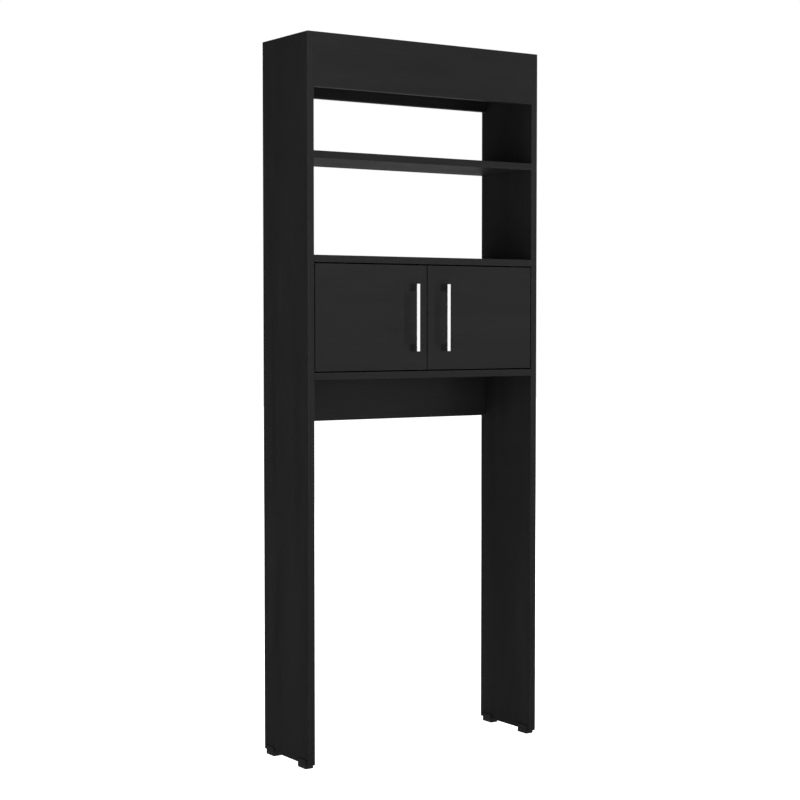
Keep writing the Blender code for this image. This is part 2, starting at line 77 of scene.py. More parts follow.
# Stage and light. The cards are CARD_SIZE square and make a box of that size round the object. The
# lowest one lies CARD_LIFT above the floor, which would hide it.
FLOOR_REACH = 14.0
FLOOR_GLOW = 1.25
AMBIENT = 0.02
CARD_SIZE = 6.0
CARD_GLOW = 0.35
CARD_LIFT = 0.01
AIM = Vector((0.0, 0.0, 0.9))

# Handles: the strap's thickness, the height of a leg, the roundings, and the bore for a screw.
HANDLE_STRAP = 0.003
HANDLE_LEG = 0.016
HANDLE_CORNER = 0.0009
HANDLE_FILLET = 0.0015
HANDLE_EDGE = 0.0006
HANDLE_BORE = 0.0023

# Pan head screws
HANDLE_SCREW_HEAD = 0.0022
HANDLE_SCREW_SHANK = 0.0020
BRACKET_SCREW_HEAD = 0.0020
BRACKET_SCREW_SHANK = 0.0018
CUP_SCREW = {"head_radius": 0.0034, "head_height": 0.0014, "shank_radius": 0.0016, "length": 0.012}
PLATE_SCREW = {"head_radius": 0.0036, "head_height": 0.0016, "shank_radius": 0.0018, "length": 0.012}
ADJUSTER = {"head_radius": 0.0030, "head_height": 0.0011, "shank_radius": 0.0020, "length": 0.0035}

# Hinges. A hinge is drawn in its own axes: X from the side panel's inner face towards the middle of
# the cabinet, Y back from the front plane of the boards, and Z up from the hinge's middle. A pair of
# numbers is a range along an axis or two places on it. PIVOT and ARM_PATH hold points (x, y).
CUP_CENTRE = 0.025
CUP_RADIUS = 0.0172
CUP_CORNER = 0.0012
CUP_FRONT = 0.0038
CUP_RIM = 0.0153
FLANGE_BACK = 0.0165
FLANGE_RADIUS = 0.0186
FLANGE_CHAMFER_IN = 0.0005
FLANGE_CHAMFER_BACK = 0.0004
WING_WIDTH = (-0.008, 0.008)
WING_HEIGHT = (-0.030, 0.030)
WING_CORNER = 0.006
WELL_RADIUS = 0.0156
WELL_BOTTOM = 0.0096
SLOT_WIDTH = (0.0106, 0.0305)
SLOT_FRONT = 0.0044
SLOT_GAP = 0.0004
CUP_SCREW_HEIGHTS = (-0.024, 0.024)
CUP_SCREW_HOLE = 0.0018
PIVOT = Vector((0.014, 0.007))
PIN_RADIUS = 0.0012
PIN_LENGTH = 0.019
PIN_CHAMFER = 0.0003
EYE_RADIUS = 0.0024
ARM_THICK = 0.0025
ARM_WIDTH = 0.010
ARM_BEND = 0.0035
ARM_PATH = ((0.0100, 0.0620), (0.0100, 0.0350), (0.0270, 0.0240), (0.0270, 0.0088), (0.0140, 0.0070))
COVER_DEPTH = (0.0345, 0.0640)
COVER_TOP = 0.0138
COVER_WALL = 0.0010
COVER_HALF_WIDTH = 0.0065
COVER_CORNER = 0.0016
COVER_EDGE = 0.00025
PLATE_DEPTH = (0.030, 0.044)
PLATE_HEIGHT = (-0.022, 0.022)
PLATE_THICK = 0.0025
PLATE_CORNER = 0.0055
PLATE_SCREW_HEIGHTS = (-0.016, 0.016)
PLATE_SCREW_HOLE = 0.0022
RAIL_DEPTH = (0.033, 0.064)
RAIL_HEIGHT = (-0.006, 0.006)
RAIL_TOP = 0.0083
RAIL_CORNER = 0.0015
STEEL_EDGE = 0.0003
ADJUSTER_DEPTHS = (0.0405, 0.0545)

# Cam caps, wall brackets and feet. FIRST_GROOVE is the height of the lowest groove of a foot's lips.
CAP_RADIUS = 0.0088
CAP_HEIGHT = 0.0009
BRACKET_THICK = 0.002
BRACKET_HOLE = 0.0024
BRACKET_HEEL = 0.0030
BRACKET_BEND = 0.0010
BRACKET_TIP = 0.0003
BRACKET_EDGE = 0.0002
FOOT_TOE = 0.0016
FOOT_LIP = 0.0008
FOOT_MOUTH = 0.0004
FOOT_SEAT = 0.0003
FOOT_EDGE = 0.00018
GROOVE_COUNT = 4
GROOVE_PITCH = 0.0022
FIRST_GROOVE = 0.0095
GROOVE_HEIGHT = 0.0009
GROOVE_DEPTH = 0.0004

# Making. Pieces that would touch are CUT_GAP apart, a cutter that goes right through passes its piece
# by OVERCUT, and faces of joined shapes that would lie flush are STEP_PROUD apart.
CUT_GAP = 0.0003
OVERCUT = 0.001
STEP_PROUD = 0.0001
SHORTEST_EDGE = 0.000005
SHARP_ANGLE = math.radians(32)


# ---------------------------------------------------------------- node helpers


class Look:
    """A procedural material under construction: a Principled shader and short ways to add nodes to it."""

    def __init__(self, name, roughness, metallic=0.0, specular=0.5):
        self.material = bpy.data.materials.new(name)
        self.material.use_nodes = True
        self.tree = self.material.node_tree
        self.shader = self.tree.nodes["Principled BSDF"]
        self.shader.inputs["Roughness"].default_value = roughness
        self.shader.inputs["Metallic"].default_value = metallic
        self.shader.inputs["Specular IOR Level"].default_value = specular
        self.place = self.add("ShaderNodeTexCoord").outputs["Object"]

    def add(self, kind, **settings):
        node = self.tree.nodes.new(kind)
        for key, value in settings.items():
            setattr(node, key, value)
        return node

    def feed(self, socket, value):
        if isinstance(value, bpy.types.NodeSocket):
            self.tree.links.new(value, socket)
        else:
            socket.default_value = value

    def math(self, operation, first, second=0.0, third=0.0):
        node = self.add("ShaderNodeMath", operation=operation)
        for socket, value in zip(node.inputs, (first, second, third)):
            self.feed(socket, value)
        return node.outputs[0]

    def stretched(self, scale, shift=(0.0, 0.0, 0.0)):
        node = self.add("ShaderNodeMapping")
        self.feed(node.inputs["Vector"], self.place)
        node.inputs["Location"].default_value = shift
        node.inputs["Scale"].default_value = scale
        return node.outputs["Vector"]

    def noise(self, vector, scale, detail=2.0, distortion=0.0, roughness=0.5):
        node = self.add("ShaderNodeTexNoise")
        self.feed(node.inputs["Vector"], vector)
        node.inputs["Scale"].default_value = scale
        node.inputs["Detail"].default_value = detail
        node.inputs["Distortion"].default_value = distortion
        node.inputs["Roughness"].default_value = roughness
        return node.outputs["Fac"]

    def cells(self, scale):
        node = self.add("ShaderNodeTexVoronoi")
        self.feed(node.inputs["Vector"], self.place)
        node.inputs["Scale"].default_value = scale
        return node.outputs["Color"]

    def spread(self, value, low, high, new_low, new_high):
        node = self.add("ShaderNodeMapRange")
        self.feed(node.inputs["Value"], value)
        limits = {"From Min": low, "From Max": high, "To Min": new_low, "To Max": new_high}
        for key, number in limits.items():
            node.inputs[key].default_value = number
        return node.outputs["Result"]

    def tint(self, factor, dark, light):
        """A mix of two colours. The Mix node's color sockets are inputs 6 and 7, and output 2."""
        node = self.add("ShaderNodeMix", data_type="RGBA")
        self.feed(node.inputs["Factor"], factor)
        for socket, color in ((node.inputs[6], dark), (node.inputs[7], light)):
            self.feed(socket, color if isinstance(color, bpy.types.NodeSocket) else (*color, 1.0))
        return node.outputs[2]

    def bump(self, height, distance, strength=1.0):
        node = self.add("ShaderNodeBump")
        node.inputs["Strength"].default_value = strength
        node.inputs["Distance"].default_value = distance
        self.feed(node.inputs["Height"], height)
        self.feed(self.shader.inputs["Normal"], node.outputs["Normal"])

    def color(self, value):
        self.feed(self.shader.inputs["Base Color"], value)

    def roughness(self, value):
        self.feed(self.shader.inputs["Roughness"], value)

    def ridge(self):
        """1 on a convex edge of the mesh, 0 on its flats."""
        pointiness = self.add("ShaderNodeNewGeometry").outputs["Pointiness"]
        return self.spread(pointiness, 0.51, 0.58, 0.0, 1.0)

    def face_distances(self, low, high):
        """For each axis, how far a point is from the nearer of a box's two faces."""
        axes = self.add("ShaderNodeSeparateXYZ")
        self.feed(axes.inputs[0], self.place)
        return [
            self.math("MINIMUM", self.math("SUBTRACT", socket, near), self.math("SUBTRACT", far, socket))
            for socket, near, far in zip(axes.outputs, low, high)
        ]


# ---------------------------------------------------------------- materials

GRAIN = {
    "side_panel_left": Z_AXIS,
    "side_panel_right": Z_AXIS,
    "top_panel": X_AXIS,
    "fascia_board": X_AXIS,
    "upper_rear_rail": X_AXIS,
    "open_shelf": X_AXIS,
    "cabinet_top": X_AXIS,
    "cabinet_bottom": X_AXIS,
    "lower_rear_rail": X_AXIS,
    "door_left": X_AXIS,
    "door_right": X_AXIS,
}

# The boards' film, and the seam of the edge band: BAND_THICK from the edge, on a board's flat faces.
BLACK_FILM = (0.0085, 0.0085, 0.0085)
GREY_FILM = (0.0150, 0.0150, 0.0150)
WORN_FILM = (0.0330, 0.0330, 0.0330)
SEAM = (0.0030, 0.0030, 0.0030)
BAND_THICK = 0.0009
SEAM_HALF_WIDTH = 0.00006
WEAR_REACH = 0.0011
ON_FACE = 0.0002


def board_look(node, along, order):
    """Black melamine: a printed and embossed grain, rubbed edges, and the seam of the edge band.

    along is the direction of the grain, and order makes each board's figure its own. The distance to the
    nearest edge of a box is the middle one of the distances to its faces along the three axes.
    """
    look = Look(f"black_melamine_{node}", 0.44)
    across = Vector((1, 1, 1)) - along
    shift = Vector((0.37, 0.53, 0.71)) * (order + 1)
    figure = look.noise(look.stretched(along * 1.6 + across * 26, shift), 1.0, detail=3, distortion=0.6)
    fibre = look.noise(look.stretched(along * 9 + across * 420, shift), 1.0, detail=4, roughness=0.62)
    pores = look.noise(look.stretched(along * 34 + across * 1500, shift), 1.0, detail=1)
    pore_mask = look.spread(pores, 0.58, 0.70, 0.0, 1.0)
    broad = look.spread(figure, 0.3, 0.7, 0.0, 0.45)
    shade = look.math("ADD", broad, look.spread(fibre, 0.3, 0.7, 0.0, 0.55))
    shade = look.math("SUBTRACT", shade, look.math("MULTIPLY", pore_mask, 0.35))

    low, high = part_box(node)
    gaps = look.face_distances(low, high)
    sizes = [far - near for near, far in zip(low, high)]
    through = gaps[sizes.index(min(sizes))]
    lesser = look.math("MINIMUM", gaps[0], gaps[1])
    greater = look.math("MAXIMUM", gaps[0], gaps[1])
    from_edge = look.math("MAXIMUM", lesser, look.math("MINIMUM", greater, gaps[2]))
    rubbed = look.spread(look.noise(look.place, 70.0, detail=4), 0.42, 0.62, 0.25, 0.9)
    wear = look.math("MULTIPLY", look.spread(from_edge, 0.0, WEAR_REACH, 1.0, 0.0), rubbed)
    at_seam = look.math("COMPARE", from_edge, BAND_THICK, SEAM_HALF_WIDTH)
    seam = look.math("MULTIPLY", at_seam, look.math("LESS_THAN", through, ON_FACE))

    film = look.tint(shade, BLACK_FILM, GREY_FILM)
    film = look.tint(wear, film, WORN_FILM)
    look.color(look.tint(seam, film, SEAM))
    handled = look.noise(look.place, 9.0, detail=3)
    gloss = look.spread(figure, 0.2, 0.8, 0.39, 0.46)
    gloss = look.math("ADD", gloss, look.math("MULTIPLY", pore_mask, 0.12))
    gloss = look.math("ADD", gloss, look.spread(handled, 0.35, 0.65, -0.02, 0.03))
    look.roughness(look.math("SUBTRACT", gloss, look.math("MULTIPLY", wear, 0.10)))
    height = look.math("SUBTRACT", look.math("MULTIPLY", fibre, 0.4), pore_mask)
    height = look.math("SUBTRACT", height, look.math("MULTIPLY", seam, 3.0))
    look.bump(height, 0.00003, 0.5)
    return look.material


def hardboard_look():
    """The thin back: pressed fibres under matt black lacquer."""
    look = Look("lacquered_hardboard", 0.6, specular=0.3)
    fibres = look.noise(look.stretched((420, 420, 260)), 1.0, detail=4, distortion=1.5, roughness=0.6)
    cloud = look.noise(look.place, 12.0, detail=3)
    fine = look.spread(fibres, 0.3, 0.7, 0.0, 0.6)
    shade = look.math("ADD", fine, look.spread(cloud, 0.3, 0.7, 0.0, 0.4))
    look.color(look.tint(shade, (0.010, 0.010, 0.010), (0.022, 0.021, 0.020)))
    look.roughness(look.spread(fibres, 0.3, 0.7, 0.52, 0.68))
    look.bump(fibres, 0.00008, 0.6)
    return look.material


def chrome_look():
    """Plating on a casting: a mirror with a slight waviness, haze and hairline scratches."""
    look = Look("polished_chrome", 0.10, metallic=1.0)
    haze = look.noise(look.place, 60.0, detail=4)
    hairlines = look.noise(look.stretched((2600, 2600, 55)), 1.0, detail=2)
    waves = look.noise(look.place, 150.0, detail=1)
    scratched = look.spread(hairlines, 0.64, 0.74, 0.0, 0.06)
    look.roughness(look.math("ADD", look.spread(haze, 0.3, 0.7, 0.07, 0.13), scratched))
    look.color(look.tint(haze, (0.70, 0.70, 0.71), (0.80, 0.80, 0.81)))
    look.bump(look.math("ADD", waves, look.math("MULTIPLY", hairlines, 0.15)), 0.000006, 0.5)
    return look.material


def plated_look(name, dark, light, roughness, spangle=0.0):
    """Nickel or zinc plating on steel: cloudy, faintly brushed, polished along its edges."""
    look = Look(name, roughness, metallic=1.0)
    cloud = look.noise(look.place, 240.0, detail=4)
    brush = look.noise(look.stretched((900, 900, 4200)), 1.0, detail=2)
    edge = look.ridge()
    shade = look.math("ADD", look.math("MULTIPLY", cloud, 0.75), look.math("MULTIPLY", edge, 0.45))
    if spangle:
        flake = look.add("ShaderNodeSeparateColor")
        look.feed(flake.inputs[0], look.cells(spangle))
        flakes = look.math("MULTIPLY", flake.outputs[0], 0.5)
        shade = look.math("ADD", look.math("MULTIPLY", shade, 0.6), flakes)
    look.color(look.tint(shade, dark, light))
    soft = look.spread(brush, 0.3, 0.7, roughness * 0.85, roughness * 1.2)
    look.roughness(look.math("SUBTRACT", soft, look.math("MULTIPLY", edge, roughness * 0.3)))
    look.bump(look.math("ADD", brush, cloud), 0.000008, 0.5)
    return look.material


def moulded_look(name):
    """Black moulded plastic with a fine sparked texture, rubbed lighter on its edges."""
    look = Look(name, 0.5, specular=0.4)
    spark = look.noise(look.place, 2600.0, detail=3)
    flow = look.noise(look.place, 90.0, detail=3, distortion=1.0)
    edge = look.ridge()
    shade = look.math("ADD", look.math("MULTIPLY", flow, 0.8), look.math("MULTIPLY", edge, 0.8))
    look.color(look.tint(shade, (0.007, 0.007, 0.007), (0.020, 0.020, 0.020)))
    look.roughness(look.spread(spark, 0.3, 0.7, 0.44, 0.60))
    look.bump(spark, 0.00003, 0.6)
    return look.material


LOOKS = {
    "back_board": hardboard_look(),
    "handle_chrome": chrome_look(),
    "hinge_steel": plated_look("nickel_plate", (0.42, 0.41, 0.39), (0.70, 0.69, 0.66), 0.26),
    "screw_steel": plated_look("screw_plate", (0.36, 0.355, 0.34), (0.64, 0.63, 0.60), 0.30),
    "cam_zinc": plated_look("cast_zinc", (0.34, 0.345, 0.35), (0.52, 0.53, 0.54), 0.42),
    "bracket_steel": plated_look("zinc_plate", (0.38, 0.39, 0.40), (0.62, 0.63, 0.65), 0.34, spangle=420.0),
    "foot_plastic": moulded_look("moulded_plastic"),
}

METALS = [LOOKS[slot] for slot in LOOKS if slot not in ("back_board", "foot_plastic")]


def finish_cad_nodes():
    for order, (name, along) in enumerate(GRAIN.items()):
        NODES[name].material_slots[0].material = board_look(name, along, order)
    for entry in frame["record"]["subparts"]:
        if entry["node"] not in GRAIN:
            NODES[entry["node"]].material_slots[0].material = LOOKS[entry["material_slot"]]


# ---------------------------------------------------------------- shapes


def arc_corner(point, before, after, size, steps):
    """Points of the arc that rounds a corner, between its two edge directions."""
    if size <= 0:
        return [point]
    half = before.angle(after) / 2
    centre = point + (before + after).normalized() * size / math.sin(half)
    start = point + before * size / math.tan(half) - centre
    end = point + after * size / math.tan(half) - centre
    first = math.atan2(start.y, start.x)
    turn = (math.atan2(end.y, end.x) - first + math.pi) % (2 * math.pi) - math.pi
    angles = [first + turn * step / steps for step in range(steps + 1)]
    return [centre + Vector((math.cos(angle), math.sin(angle))) * size for angle in angles]


def rounded(corners, radius, steps=5):
    """A closed outline with round corners. A corner is (x, y), or (x, y, its own radius)."""
    outline = []
    for index, corner in enumerate(corners):
        point = Vector(corner[:2])
        before = (Vector(corners[index - 1][:2]) - point).normalized()
        after = (Vector(corners[(index + 1) % len(corners)][:2]) - point).normalized()
        size = corner[2] if len(corner) > 2 else radius
        outline += arc_corner(point, before, after, size, steps)
    return outline


def bent(corners, radius, steps=6):
    """An open path with round bends."""
    points = [Vector(corner) for corner in corners]
    path = [points[0]]
    for last, point, following in zip(points, points[1:], points[2:]):
        before = (last - point).normalized()
        after = (following - point).normalized()
        path += arc_corner(point, before, after, radius, steps)
    return path + [points[-1]]


def strip(path, thickness):
    """The outline of a bent strip whose middle line is path."""
    left = []
    right = []
    for index, point in enumerate(path):
        along = (path[min(index + 1, len(path) - 1)] - path[max(index - 1, 0)]).normalized()
        across = Vector((-along.y, along.x)) * thickness / 2
        left.append(point + across)
        right.append(point - across)
    return left + right[::-1]


def slab(outline, low, high):
    """A flat outline in X and Y, given a thickness between two Z places."""
    shape = bmesh.new()
    under = [shape.verts.new((x, y, low)) for x, y in outline]
    over = [shape.verts.new((x, y, high)) for x, y in outline]
    shape.faces.new(under[::-1])
    shape.faces.new(over)
    for index in range(len(outline)):
        after = (index + 1) % len(outline)
        shape.faces.new((under[index], under[after], over[after], over[index]))
    return shape


def turned(profile, steps=32):
    """A turned piece about Z. The profile lists (radius, height) and begins and ends on the axis."""
    shape = bmesh.new()
    rings = []
    for radius, height in profile:
        count = steps if radius else 1
        angles = [2 * math.pi * step / steps for step in range(count)]
        places = [(radius * math.cos(angle), radius * math.sin(angle), height) for angle in angles]
        rings.append([shape.verts.new(place) for place in places])
    for lower, upper in zip(rings, rings[1:]):
        for step in range(steps):
            corners = []
            for ring, index in ((lower, step), (lower, step + 1), (upper, step + 1), (upper, step)):
                corner = ring[index % len(ring)]
                if corner not in corners:
                    corners.append(corner)
            if len(corners) > 2:
                shape.faces.new(corners)
    return shape


def oblong(xs, ys):
    """The corners of an oblong, from its lower left."""
    return [(xs[0], ys[0]), (xs[1], ys[0]), (xs[1], ys[1]), (xs[0], ys[1])]


def block(xs, ys, zs):
    return slab(oblong(xs, ys), *zs)


def rod(radius, low, high, steps=24):
    return turned([(0, low), (radius, low), (radius, high), (0, high)], steps)


def laid(shape, x_axis=X_AXIS, y_axis=Y_AXIS, origin=(0, 0, 0)):
    """The shape with its X and Y turned to two given axes, and moved to origin."""
    matrix = Matrix((x_axis, y_axis, x_axis.cross(y_axis))).transposed().to_4x4()
    matrix.translation = origin
    bmesh.ops.transform(shape, matrix=matrix, verts=shape.verts)
    return shape


def loose_object(shape):
    bmesh.ops.recalc_face_normals(shape, faces=shape.faces)
    mesh = bpy.data.meshes.new("loose")
    shape.to_mesh(mesh)
    shape.free()
    obj = bpy.data.objects.new("loose", mesh)
    bpy.context.scene.collection.objects.link(obj)
    return obj


def combined(shape, operation, tools):
    """The shape with each tool cut from it or joined to it."""
    base = loose_object(shape)
    loose = [base]
    for tool in tools:
        loose.append(loose_object(tool))
        modifier = base.modifiers.new("combine", "BOOLEAN")
        modifier.operation = operation
        modifier.solver = "EXACT"
        modifier.object = loose[-1]
    bpy.context.view_layer.update()
    mesh = bpy.data.meshes.new_from_object(base.evaluated_get(bpy.context.evaluated_depsgraph_get()))
    result = bmesh.new()
    result.from_mesh(mesh)
    bmesh.ops.dissolve_degenerate(result, dist=SHORTEST_EDGE, edges=result.edges)
    for old in [mesh] + [obj.data for obj in loose]:
        bpy.data.meshes.remove(old)
    return result


def cut(shape, *tools):
    return combined(shape, "DIFFERENCE", tools)


def join(shape, *tools):
    return combined(shape, "UNION", tools)


def make_piece(name, shape, slot, body, replaces=(), edge=0.0, segments=2):
    """Turns a shape into a named piece that rides on a body, with its edges rounded or left sharp."""
    bmesh.ops.recalc_face_normals(shape, faces=shape.faces)
    mesh = bpy.data.meshes.new(name)
    shape.to_mesh(mesh)
    shape.free()
    piece = bpy.data.objects.new(name, mesh)
    bpy.context.scene.collection.objects.link(piece)
    mesh.materials.clear()
    mesh.materials.append(LOOKS[slot])
    mesh.shade_smooth()
    mesh.set_sharp_from_angle(angle=SHARP_ANGLE)
    if edge:
        bevel = piece.modifiers.new("round_edges", "BEVEL")
        bevel.width = edge
        bevel.segments = segments
        bevel.limit_method = "ANGLE"
        bevel.angle_limit = SHARP_ANGLE
    flatten = piece.modifiers.new("flat_faces", "WEIGHTED_NORMAL")
    flatten.weight = 100
    flatten.keep_sharp = True
    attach(piece, body)
    if replaces:
        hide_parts(*replaces)


# ---------------------------------------------------------------- screws


def cross_recess(reach, width, top, bottom):
    """The tapering cross of a driver's recess, to be cut from a screw head."""
    shape = bmesh.new()
    rings = []
    for height, arm, half in ((bottom, reach * 0.45, width * 0.8), (top, reach, width)):
        places = [(half, arm), (-half, arm), (-half, half), (-arm, half), (-arm, -half), (-half, -half)]
        places += [(-x, -y) for x, y in places]
        rings.append([shape.verts.new((x, y, height)) for x, y in places])
    shape.faces.new(rings[0][::-1])
    shape.faces.new(rings[1])
    for index in range(len(rings[0])):
        after = (index + 1) % len(rings[0])
        shape.faces.new((rings[0][index], rings[0][after], rings[1][after], rings[1][index]))
    return shape


def screw(head_radius, head_height, shank_radius, length):
    """A pan head screw with a cross recess. Its seat is at Z = 0, and its head is above."""
    profile = [
        (0, -length),
        (shank_radius * 0.45, -length),
        (shank_radius, -length + shank_radius * 1.4),
        (shank_radius, 0),
        (head_radius, 0),
        (head_radius, head_height * 0.35),
        (head_radius * 0.93, head_height * 0.66),
        (head_radius * 0.72, head_height * 0.90),
        (head_radius * 0.40, head_height),
        (0, head_height),
    ]
    recess = cross_recess(head_radius * 0.56, head_radius * 0.13, head_height * 1.2, head_height * 0.30)
    return cut(turned(profile, 28), recess)


# ---------------------------------------------------------------- handles


def make_handle(side):
    """The bow handle: one casting with two legs and a flat strap, drawn in side view."""
    node = f"handle_{side}"
    low, high = (Vector(corner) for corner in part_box(node))
    middle = (low + high) / 2
    half = (high.z - low.z) / 2
    far = high.y - low.y
    leg = half - HANDLE_LEG
    strap = far - HANDLE_STRAP
    corners = [
        (0, -half),
        (far, -half, HANDLE_CORNER),
        (far, half, HANDLE_CORNER),
        (0, half),
        (0, leg),
        (strap, leg, HANDLE_FILLET),
        (strap, -leg, HANDLE_FILLET),
        (0, -leg),
    ]
    width = high.x - low.x
    shape = slab(rounded(corners, 0.0), -width / 2, width / 2)
    shape = laid(shape, -Y_AXIS, Z_AXIS, (middle.x, high.y, middle.z))
    bores = []
    for level in LEVELS:
        screw_low, screw_high = (Vector(corner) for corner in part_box(f"handle_screw_{side}_{level}"))
        centre = (screw_low + screw_high) / 2
        bore = rod(HANDLE_BORE, screw_low.y - OVERCUT, high.y + OVERCUT)
        bores.append(laid(bore, X_AXIS, -Z_AXIS, (centre.x, 0, centre.z)))
    shape = cut(shape, *bores)
    make_piece(f"{node}_casting", shape, "handle_chrome", f"{side}_door", [node], HANDLE_EDGE, segments=3)


def make_handle_screws(side):
    for level in LEVELS:
        node = f"handle_screw_{side}_{level}"
        low, high = (Vector(corner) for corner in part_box(node))
        seat = high.y - HANDLE_SCREW_HEAD
        shape = screw((high.x - low.x) / 2, HANDLE_SCREW_HEAD, HANDLE_SCREW_SHANK, seat - low.y)
        laid(shape, X_AXIS, -Z_AXIS, ((low.x + high.x) / 2, seat, (low.z + high.z) / 2))
        make_piece(f"{node}_pan_head", shape, "screw_steel", f"{side}_door", [node])


# ---------------------------------------------------------------- hinges


def in_cup(shape, depth=0.0, z=0.0):
    """A shape drawn upwards, turned to point backwards and set on the cup's centre line."""
    return laid(shape, X_AXIS, -Z_AXIS, (CUP_CENTRE, depth, z))


class Hinge:
    """One concealed hinge, drawn in its own axes and then set in its place on its side."""

    def __init__(self, side, level):
        sign = SIDES[side]
        self.label = f"{side}_{level}"
        self.door = f"{side}_door"
        panel_low, panel_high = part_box(f"side_panel_{side}")
        pin_low, pin_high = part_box(f"hinge_pin_{self.label}")
        inner_x = panel_high[0] if sign < 0 else panel_low[0]
        self.place = Matrix.Diagonal((-sign, 1, 1, 1))
        self.place.translation = (inner_x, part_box(f"door_{side}")[0][1], (pin_low[2] + pin_high[2]) / 2)

    def make(self, kind, shape, slot, body, replaces=(), edge=0.0):
        bmesh.ops.transform(shape, matrix=self.place, verts=shape.verts)
        nodes = [f"{node}_{self.label}" for node in replaces]
        make_piece(f"{kind}_{self.label}", shape, slot, body, nodes, edge)

    def make_cup(self):
        """The stamped cup and its winged flange, with the well, the arm's slot and the pin's hole."""
        profile = [
            (0, CUP_FRONT),
            (CUP_RADIUS - CUP_CORNER, CUP_FRONT),
            (CUP_RADIUS, CUP_FRONT + CUP_CORNER),
            (CUP_RADIUS, CUP_RIM),
            (FLANGE_RADIUS, CUP_RIM),
            (FLANGE_RADIUS, FLANGE_BACK - FLANGE_CHAMFER_BACK),
            (FLANGE_RADIUS - FLANGE_CHAMFER_IN, FLANGE_BACK),
            (0, FLANGE_BACK),
        ]
        shape = in_cup(turned(profile, 64))
        outline = rounded(oblong(WING_WIDTH, WING_HEIGHT), WING_CORNER, 8)
        shape = join(shape, in_cup(slab(outline, CUP_RIM + STEP_PROUD, FLANGE_BACK - STEP_PROUD)))
        open_back = FLANGE_BACK + OVERCUT
        well_profile = [
            (0, WELL_BOTTOM),
            (WELL_RADIUS - CUP_CORNER, WELL_BOTTOM),
            (WELL_RADIUS - CUP_CORNER / 3, WELL_BOTTOM + CUP_CORNER / 3),
            (WELL_RADIUS, WELL_BOTTOM + CUP_CORNER),
            (WELL_RADIUS, open_back),
            (0, open_back),
        ]
        well = in_cup(turned(well_profile, 64))
        half_slot = ARM_WIDTH / 2 + SLOT_GAP
        slot = block(SLOT_WIDTH, (SLOT_FRONT, open_back), (-half_slot, half_slot))
        half_pin = PIN_LENGTH / 2 + CUT_GAP
        pin_hole = laid(rod(PIN_RADIUS + CUT_GAP, -half_pin, half_pin), origin=(*PIVOT, 0))
        holes = []
        for z in CUP_SCREW_HEIGHTS:
            holes.append(in_cup(rod(CUP_SCREW_HOLE, CUP_RIM - OVERCUT, open_back, 16), z=z))
        shape = cut(shape, well, slot, pin_hole, *holes)
        self.make("stamped_cup", shape, "hinge_steel", self.door, ["hinge_cup"])
        for number, z in enumerate(CUP_SCREW_HEIGHTS):
            fixing = in_cup(screw(**CUP_SCREW), FLANGE_BACK, z)
            self.make(f"cup_screw_{number}", fixing, "screw_steel", self.door)

    def make_pin(self):
        half = PIN_LENGTH / 2
        profile = [
            (0, -half),
            (PIN_RADIUS - PIN_CHAMFER, -half),
            (PIN_RADIUS, PIN_CHAMFER - half),
            (PIN_RADIUS, half - PIN_CHAMFER),
            (PIN_RADIUS - PIN_CHAMFER, half),
            (0, half),
        ]
        pin = laid(turned(profile, 24), origin=(*PIVOT, 0))
        self.make("pivot_pin", pin, "hinge_steel", self.door, ["hinge_pin"])

    def make_arm(self):
        """The bent arm, with the eye that turns on the pin."""
        half = ARM_WIDTH / 2
        eye_half = half + STEP_PROUD
        shape = slab(strip(bent(ARM_PATH, ARM_BEND), ARM_THICK), -half, half)
        shape = join(shape, laid(rod(EYE_RADIUS, -eye_half, eye_half, 32), origin=(*PIVOT, 0)))
        half_hole = eye_half + OVERCUT
        pin_hole = laid(rod(PIN_RADIUS + CUT_GAP, -half_hole, half_hole), origin=(*PIVOT, 0))
        self.make("bent_arm", cut(shape, pin_hole), "hinge_steel", "carcass", ["hinge_arm"], STEEL_EDGE)

    def make_arm_cover(self):
        """The folded channel over the arm's straight end, with its two adjusting screws."""
        low = RAIL_TOP + CUT_GAP
        outer = COVER_HALF_WIDTH
        inner = outer - COVER_WALL
        roof = COVER_TOP - COVER_WALL
        inner_corner = COVER_CORNER - COVER_WALL
        corners = [
            (low, -outer),
            (COVER_TOP, -outer, COVER_CORNER),
            (COVER_TOP, outer, COVER_CORNER),
            (low, outer),
            (low, inner),
            (roof, inner, inner_corner),
            (roof, -inner, inner_corner),
            (low, -inner),
        ]
        front, back = COVER_DEPTH
        channel = laid(slab(rounded(corners, 0.0), -back, -front), X_AXIS, Z_AXIS)
        self.make("arm_channel", channel, "hinge_steel", "carcass", edge=COVER_EDGE)
        for number, depth in enumerate(ADJUSTER_DEPTHS):
            adjuster = laid(screw(**ADJUSTER), Y_AXIS, Z_AXIS, (COVER_TOP, depth, 0))
            self.make(f"adjusting_screw_{number}", adjuster, "screw_steel", "carcass")

